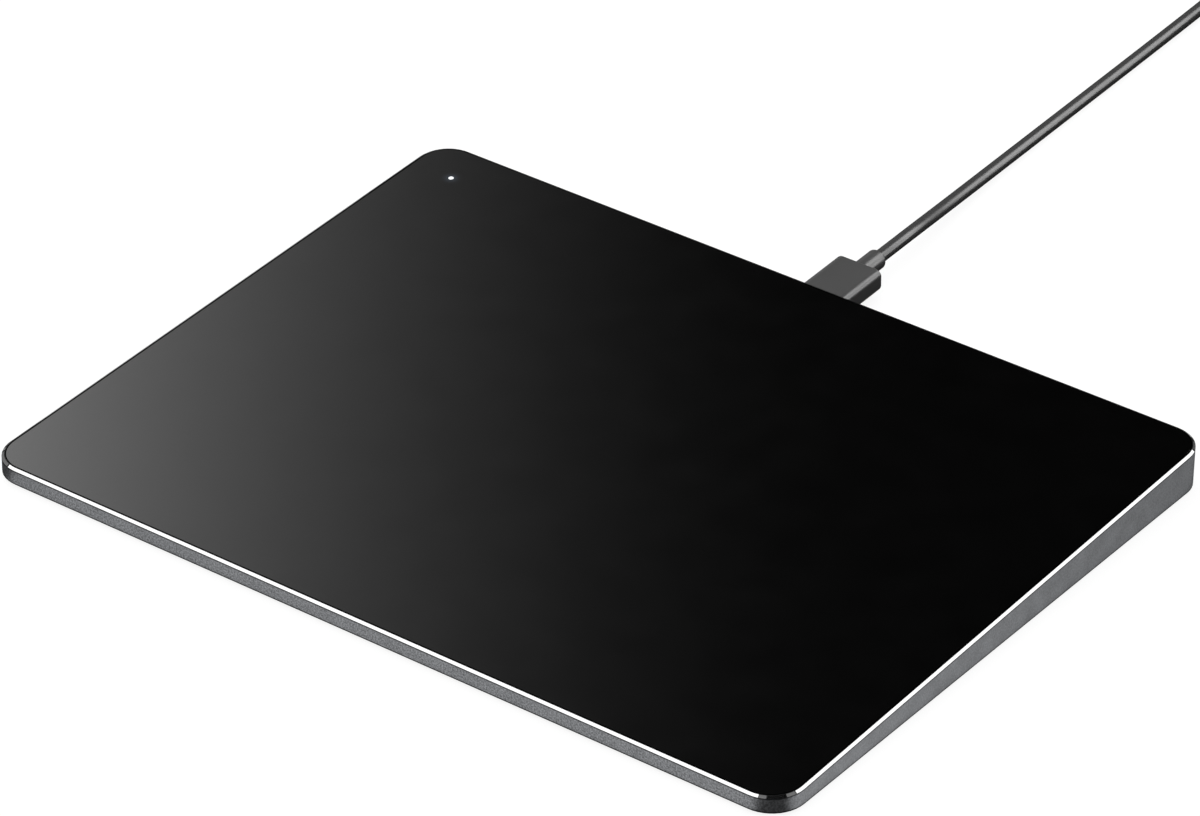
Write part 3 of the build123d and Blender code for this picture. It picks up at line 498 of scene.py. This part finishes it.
def wall_darkening_and_painted_shade(tree, place):
    """How much of its colour the wall keeps: less just under the cut edge, and less at its foot as painted
    shade.
    """
    from_deck = vector_math(tree, "SUBTRACT", place, deck_middle)[0]
    over_deck = vector_math(tree, "DOT_PRODUCT", from_deck, deck_normal)["Value"]
    from_cut = arithmetic(tree, "ADD", over_deck, chamfer_down)
    # a darker line just under the cut edge
    under_cut_darkening = spread(tree, from_cut, -under_cut_starts, -under_cut_full, 1, under_cut_share, smooth=True)
    z = axes(tree, place)[2]
    # painted shade: the wall's foot is darkened where shade falls by the floor
    painted_foot_shade = spread(tree, z, foot_drop + foot_shade_full, foot_drop + foot_shade_ends, foot_shade_share, 1, smooth=True)
    return product(tree, under_cut_darkening, painted_foot_shade)


def cut_edge(tree, normal):
    """Where the slanted edge is, by the way it faces, and its colour and roughness."""
    upward = vector_math(tree, "DOT_PRODUCT", normal, deck_normal)["Value"]
    past_wall = spread(tree, upward, cut_starts, cut_full, 0, 1, smooth=True)
    before_deck = spread(tree, upward, cut_fades, cut_ends, 1, 0, smooth=True)
    lines = noise(tree, size=cut_line_size, detail=1, stretch=cut_line_stretch)
    bright = blend(tree, lines, grey(0.84), grey(0.93))
    return product(tree, past_wall, before_deck), bright, varied(tree, lines, 0.03, 0.055)


def blasted_metal(name, chamfered):
    """Grey anodised metal with a fine blasted grain; the slanted edge on top is cut bright."""
    material, tree, surface = shader(name, metal_grey, 0.6, metallic=1.0)
    coordinates = node(tree, "ShaderNodeTexCoord").outputs
    colour, roughness, height = blasted_surface(tree, coordinates["Normal"])
    if chamfered:
        cut, bright, polish = cut_edge(tree, coordinates["Normal"])
        # the wall's colour, darker under the cut edge and with painted shade at its foot
        darkening_and_painted_shade = wall_darkening_and_painted_shade(tree, coordinates["Object"])
        darkened_and_shaded_colour = node(tree, "ShaderNodeVectorMath", {0: colour, "Scale": darkening_and_painted_shade}, operation="SCALE")
        colour = blend(tree, cut, darkened_and_shaded_colour.outputs[0], bright)
        roughness = between(tree, cut, roughness, polish)
        height = product(tree, height, arithmetic(tree, "SUBTRACT", 1.0, cut))

        # painted shade: the ring's inner side, down in the gap round the glass, is painted dark where shade
        # falls in the gap
        inner = spread(tree, outline_depth(tree), chamfer_in, chamfer_in + gap_fade, 0, 1)
        colour = blend(tree, inner, colour, grey(0.02))
    normal = raised(tree, height, blast_depth)
    connect(tree, surface, Base_Color=colour, Roughness=roughness, Normal=normal)
    return material


# The glass and its small light

haze_size = 9 * MM
etch_size = 0.05 * MM
etch_depth = 0.0006 * MM
face_fade = 0.04 * MM
glow_starts, glow_ends = 0.4 * MM, 3.0 * MM
glow_power = 3.0
glow_strength = 0.06
glow_colour = (0.6, 0.75, 1.0, 1)
light_core, light_rim = 0.25 * MM, 0.6 * MM
core_strength, rim_strength = 1.2, 0.4
light_colour = (0.93, 0.97, 1.0, 1)


def from_light(tree):
    """How far a point lies from the middle of the small light."""
    light = sum(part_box("indicator_window"), Vector()) / 2
    return vector_math(tree, "DISTANCE", own_place(tree), light)["Value"]


def black_glass():
    """Glass blackened from behind, with a fine satin face and a faint glow round the light."""
    material, tree, surface = shader("black_glass", grey(0.0004), 0.15)
    haze = noise(tree, size=haze_size, detail=4)
    etch = noise(tree, size=etch_size, detail=1)
    face = spread(tree, outline_depth(tree), glass_face_from, glass_face_from + face_fade, 0, 1)
    near = spread(tree, from_light(tree), glow_starts, glow_ends, 1, 0)
    surface.inputs["Emission Color"].default_value = glow_colour
    connect(
        tree,
        surface,
        Roughness=varied(tree, haze, 0.145, 0.17),
        Normal=raised(tree, etch, etch_depth),
        Specular_IOR_Level=product(tree, face, 0.5),
        Emission_Strength=product(tree, arithmetic(tree, "POWER", near, glow_power), glow_strength),
    )
    return material


def light_window():
    material, tree, surface = shader("light_window", grey(0.8), 0.2)
    surface.inputs["Emission Color"].default_value = light_colour
    glow = spread(tree, from_light(tree), light_core, light_rim, core_strength, rim_strength)
    connect(tree, surface, Emission_Strength=glow)
    return material


# The plastics, the steels and the rest, and the slot that each one dresses


def moulded(name, level, roughness, grain_size=0.12 * MM, depth=0.004 * MM, specular=0.5):
    """Satin moulded plastic or rubber with a fine spark-eroded texture."""
    material, tree, surface = shader(name, grey(level), roughness, Specular_IOR_Level=specular)
    grain = noise(tree, size=grain_size, detail=2)
    cloud = noise(tree, size=6 * MM, detail=3)
    connect(
        tree,
        surface,
        Base_Color=blend(tree, cloud, grey(level * 0.9), grey(level * 1.1)),
        Roughness=varied(tree, cloud, roughness - 0.03, roughness + 0.03),
        Normal=raised(tree, grain, depth),
    )
    return material


def rolled_steel(name, level, roughness, stretch=(12, 1, 1)):
    """Bright or dark steel with fine drawn lines."""
    material, tree, surface = shader(name, grey(level), roughness, metallic=1.0)
    lines = noise(tree, size=0.08 * MM, detail=3, stretch=stretch)
    stain = noise(tree, size=3 * MM, detail=3)
    connect(
        tree,
        surface,
        Base_Color=blend(tree, stain, grey(level * 0.85), grey(level * 1.1)),
        Roughness=varied(tree, lines, roughness - 0.06, roughness + 0.06),
        Normal=raised(tree, lines, depth=0.003 * MM),
    )
    return material


def coloured(name, colour, roughness):
    """Smooth plastic, slightly uneven in its colour."""
    material, tree, surface = shader(name, (*colour, 1), roughness)
    cloud = noise(tree, size=0.3 * MM, detail=3)
    dark = (*(part * 0.88 for part in colour), 1)
    pale = (*(part * 1.12 for part in colour), 1)
    connect(
        tree,
        surface,
        Base_Color=blend(tree, cloud, dark, pale),
        Roughness=varied(tree, cloud, roughness - 0.05, roughness + 0.05),
        Normal=raised(tree, cloud, depth=0.003 * MM),
    )
    return material


def circuit_board():
    """Green solder mask with buried copper lines."""
    material, tree, surface = shader("board", (0.01, 0.05, 0.025, 1), 0.35)
    pattern = {
        "Vector": own_place(tree),
        "Scale": 1 / (1.6 * MM),
        "Mortar Size": 0.06,
        "Brick Width": 2.2,
    }
    lines = node(tree, "ShaderNodeTexBrick", pattern).outputs["Fac"]
    connect(
        tree,
        surface,
        Base_Color=blend(tree, lines, (0.008, 0.04, 0.02, 1), (0.02, 0.09, 0.04, 1)),
        Normal=raised(tree, lines, depth=0.02 * MM),
    )
    return material


def foil_pouch():
    """Creased foil."""
    material, tree, surface = shader("battery_pouch", grey(0.6), 0.32, metallic=1.0)
    crease = noise(tree, size=5 * MM, detail=5)
    connect(
        tree,
        surface,
        Roughness=varied(tree, crease, 0.25, 0.42),
        Normal=raised(tree, crease, depth=0.25 * MM),
    )
    return material


def woven_band():
    """A black woven band with short loops."""
    material, tree, surface = shader("tie_band", grey(0.015), 0.85, Sheen_Weight=0.5)
    cells = {"Vector": own_place(tree), "Scale": 1 / (0.28 * MM)}
    loops = node(tree, "ShaderNodeTexVoronoi", cells).outputs["Distance"]
    connect(
        tree,
        surface,
        Base_Color=blend(tree, loops, grey(0.022), grey(0.008)),
        Normal=raised(tree, loops, depth=0.08 * MM),
    )
    return material


slot_materials = {
    "frame_metal": blasted_metal("frame_metal", True),
    "cover_metal": blasted_metal("cover_metal", False),
    "screw_steel": rolled_steel("screw_steel", 0.12, 0.3, stretch=(1, 1, 1)),
    "black_glass": black_glass(),
    "light_window": light_window(),
    "light_guide": coloured("light_guide", (0.8, 0.82, 0.85), 0.2),
    "adhesive": moulded("adhesive", 0.05, 0.6),
    "board": circuit_board(),
    "chip": moulded("chip", 0.015, 0.55, grain_size=0.06 * MM),
    "sheet_steel": rolled_steel("sheet_steel", 0.5, 0.35),
    "plug_steel": rolled_steel("plug_steel", 0.62, 0.22, stretch=(1, 14, 1)),
    "black_moulding": moulded("black_moulding", 0.02, 0.45),
    "white_moulding": moulded("white_moulding", 0.75, 0.45),
    "control_plastic": moulded("control_plastic", 0.03, 0.5),
    "flex_film": coloured("flex_film", (0.35, 0.14, 0.03), 0.3),
    "battery_pouch": foil_pouch(),
    "red_wire": coloured("red_wire", (0.4, 0.01, 0.01), 0.45),
    "black_wire": moulded("black_wire", 0.01, 0.45),
    "soft_rubber": moulded("soft_rubber", 0.03, 0.8),
    "foot_rubber": moulded("foot_rubber", 0.028, 0.72, grain_size=0.25 * MM, depth=0.02 * MM),
    "cord_moulding": moulded("cord_moulding", 0.064, 0.3, specular=0.62),
    "cord_jacket": moulded("cord_jacket", 0.051, 0.25, grain_size=0.3 * MM, specular=0.4),
    "tie_band": woven_band(),
}


def dress_nodes():
    """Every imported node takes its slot's material; the cord's curve and the tie take their own."""
    for part in frame["record"]["subparts"]:
        slots = nodes[part["node"]].data.materials
        for index in range(len(slots)):
            slots[index] = slot_materials[part["material_slot"]]
    lead_cord.data.materials.append(slot_materials["cord_jacket"])
    woven_tie.data.materials.append(slot_materials["tie_band"])


dress_nodes()


# The stage: a white floor, the studio's air, and glowing panels that the camera doesn't see

floor_size = 8
floor_white = 0.9
floor_paint = 0.12
floor_in_mirrors = 0.043
air_white = 1.0
air_from_side = 0.02
air_from_above = 2.35
above_starts, above_full = 0.5, 1.0
air_in_mirrors = 0.003
card_lift = 0.04 * MM
card_fade = 3 * MM
card_edge_share = 0.08


def plane_object(name, width, height, place, right, up):
    """A rectangle that faces along right cross up."""
    corners = [(-1, -1), (1, -1), (1, 1), (-1, 1)]
    mesh = bpy.data.meshes.new(name)
    mesh.from_pydata([(x * width / 2, y * height / 2, 0) for x, y in corners], [], [(0, 1, 2, 3)])
    made = add_object(name, mesh)
    made.matrix_world = Matrix.Translation(place) @ facing(right, up, right.cross(up))
    return made


def soft_sides(tree, places, sizes, fade):
    """1 well inside a panel, falling to 0 at its sides."""
    sides = []
    for place, size in zip(places, sizes):
        reach = arithmetic(tree, "ABSOLUTE", place)
        sides.append(spread(tree, reach, size / 2, size / 2 - fade, 0, 1, smooth=True))
    return product(tree, *sides)


def light_up(panel, strength):
    """Light without substance; strength makes it from the tree and the panel's own place."""
    material = bpy.data.materials.new(panel.name)
    tree = empty_tree(material)
    x, y = axes(tree, own_place(tree))[:2]
    light = node(tree, "ShaderNodeEmission", {"Strength": strength(tree, x, y)}).outputs[0]
    clear = node(tree, "ShaderNodeBsdfTransparent").outputs[0]
    both = node(tree, "ShaderNodeAddShader", {0: light, 1: clear}).outputs[0]
    node(tree, "ShaderNodeOutputMaterial", {"Surface": both})
    panel.data.materials.append(material)
    panel.visible_camera = False


def direction(azimuth, elevation):
    """Azimuth runs from +X towards +Y, and elevation up from the floor, in degrees."""
    a, e = math.radians(azimuth), math.radians(elevation)
    return Vector((math.cos(a) * math.cos(e), math.sin(a) * math.cos(e), math.sin(e)))


def soft_box(name, first, last, width, radiance, edge_share=card_edge_share, distance=3.0, faced=Vector()):
    """A glowing panel that faces a point and runs from one direction to another, its edges soft."""
    start, end = direction(*first), direction(*last)
    away = (start + end).normalized()
    length = 2 * distance * math.tan(start.angle(end) / 2)
    right = (end - start).normalized()
    box = plane_object(name, length, width, faced + away * distance, right, (-away).cross(right))

    def strength(tree, x, y):
        inside = soft_sides(tree, (x, y), (length, width), edge_share * width / 2)
        return product(tree, inside, radiance)

    light_up(box, strength)
    return box


def plug_key():
    """The box that lights the plug; as with a flag on a stand, none of its light is on the ring."""
    plug_middle = sum(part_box("plug_c_body"), Vector()) / 2
    box = soft_box(
        "rear_key",
        first=(45, 0),
        last=(83, 45),
        width=0.44,
        radiance=6.3,
        edge_share=0.3,
        distance=1.0,
        faced=plug_middle,
    )
    box.visible_diffuse = False
    flagged = bpy.data.collections.new("rear_key_flagged")
    flagged.objects.link(nodes["housing_frame"])
    flagged.collection_objects[0].light_linking.link_state = "EXCLUDE"
    box.light_linking.receiver_collection = flagged


def floor_card(name, across, along, radiances):
    """A pale card on the floor beside the pad, in millimetres, which only mirrors show."""
    (left, right), (near, far) = across, along
    width, length = (right - left) * MM, (far - near) * MM
    place = Vector(((left + right) / 2 * MM, (near + far) / 2 * MM, card_lift))
    card = plane_object(name, width, length, place, Vector((1, 0, 0)), Vector((0, 1, 0)))

    def strength(tree, x, y):
        inside = soft_sides(tree, (x, y), (width, length), card_fade)
        value, size = (x, width) if width > length else (y, length)
        return product(tree, inside, spread(tree, value, -size / 2, size / 2, *radiances))

    light_up(card, strength)
    card.visible_diffuse = False
    card.visible_shadow = False


def mirrored(vector):
    return vector - 2 * vector.dot(deck_normal) * deck_normal


def fading_panel():
    """The wide panel that the glass mirrors, bright at its left and gone by the middle.

    It stands square to the photograph's view as the glass mirrors it, and its places on that view
    are in the photograph's pixels.
    """
    distance = 2.4
    pixels_wide, pixels_high = 2200, 2400
    dark_pixel, bright_pixel = 900, 20
    past_bright_share = 1.3
    fade_power = 3.12
    bright_level = 2.01
    side_fade_share, end_fade_share = 0.85, 0.6

    eye = deck_middle + mirrored(camera_place - deck_middle)
    right, up, back = mirrored(camera_right), mirrored(camera_up), mirrored(camera_back)
    pixel = distance * sensor_width / focal_length / photo_width
    width, height = pixels_wide * pixel, pixels_high * pixel
    panel = plane_object("fading_panel", width, height, eye - back * distance, right, -up)
    dark_from = (dark_pixel - photo_width / 2) * pixel
    past_bright = dark_from + (bright_pixel - dark_pixel) * pixel * past_bright_share

    def strength(tree, x, y):
        share = spread(tree, x, dark_from, past_bright, 0, past_bright_share)
        level = product(tree, arithmetic(tree, "POWER", share, fade_power), bright_level)
        side = spread(tree, x, -width / 2, -width / 2 * side_fade_share, 0, 1, smooth=True)
        reach = arithmetic(tree, "ABSOLUTE", y)
        ends = spread(tree, reach, height / 2, height / 2 * end_fade_share, 0, 1, smooth=True)
        return product(tree, level, side, ends)

    light_up(panel, strength)


def seen_and_mirrored(tree):
    """Whether the camera sees the place, straight or through glass, and whether a mirror does."""
    paths = node(tree, "ShaderNodeLightPath").outputs
    seen = arithmetic(tree, "MAXIMUM", paths["Is Camera Ray"], paths["Is Transmission Ray"])
    return seen, paths["Is Glossy Ray"]


def floor():
    """White where the camera sees it, dim in mirrors, and dull grey to the light."""
    made = plane_object(
        "floor", floor_size, floor_size, Vector(), Vector((1, 0, 0)), Vector((0, 1, 0))
    )
    material = bpy.data.materials.new("floor")
    tree = empty_tree(material)
    seen, glossy = seen_and_mirrored(tree)
    glow = node(tree, "ShaderNodeEmission", {"Strength": product(tree, seen, floor_white)}).outputs[0]
    matt = node(tree, "ShaderNodeBsdfDiffuse", {"Color": grey(floor_paint)}).outputs[0]
    both = node(tree, "ShaderNodeAddShader", {0: glow, 1: matt}).outputs[0]
    dim = node(tree, "ShaderNodeEmission", {"Strength": floor_in_mirrors}).outputs[0]
    surface = node(tree, "ShaderNodeMixShader", {0: glossy, 1: both, 2: dim}).outputs[0]
    node(tree, "ShaderNodeOutputMaterial", {"Surface": surface})
    made.data.materials.append(material)


def studio_air():
    """The world: white where the camera looks past the floor, dim in mirrors, light from above."""
    world = bpy.data.worlds.new("studio")
    bpy.context.scene.world = world
    tree = empty_tree(world)
    seen, glossy = seen_and_mirrored(tree)
    upward = axes(tree, node(tree, "ShaderNodeTexCoord").outputs["Generated"])[2]
    overhead = spread(
        tree, upward, above_starts, above_full, air_from_side, air_from_above, smooth=True
    )
    level = between(tree, seen, between(tree, glossy, overhead, air_in_mirrors), air_white)
    air = node(tree, "ShaderNodeBackground", {"Color": grey(1), "Strength": level}).outputs[0]
    node(tree, "ShaderNodeOutputWorld", {"Surface": air})


# Each card's name, the directions it runs between, its width in metres and its radiance
cards = [
    ("front_card", (198, 33), (256, 59), 0.9, 1.3),
    ("rear_card", (30, 50), (74, 21), 0.7, 1.3),
    ("front_dim_card", (258, 59.3), (285, 63), 0.9, 0.17),
    ("right_dim_card", (0, 58), (28, 50.6), 0.7, 0.17),
    ("left_dim_card", (160, 2), (196, 31), 0.9, 0.17),
    ("rear_dim_card", (76, 19), (96, 3), 0.5, 0.09),
]

# Each floor card's name, its reach along X and Y in millimetres and the radiance at its two ends
floor_cards = [
    ("front_floor_card", (-93.5, 90.2), (-180, -71), (0.36, 0.415)),
    ("right_floor_card", (94, 200), (-69.5, 120), (0.445, 0.16)),
    ("left_floor_card", (-180, -93), (-50, 62), (0.35, 0.35)),
    ("rear_left_floor_card", (-86, -22), (70, 130), (0.35, 0.35)),
    ("rear_right_floor_card", (24, 86), (70, 130), (0.35, 0.35)),
]

floor()
studio_air()
fading_panel()
for card in cards:
    soft_box(*card)
plug_key()
for card in floor_cards:
    floor_card(*card)

bpy.context.scene.view_settings.view_transform = "Standard"
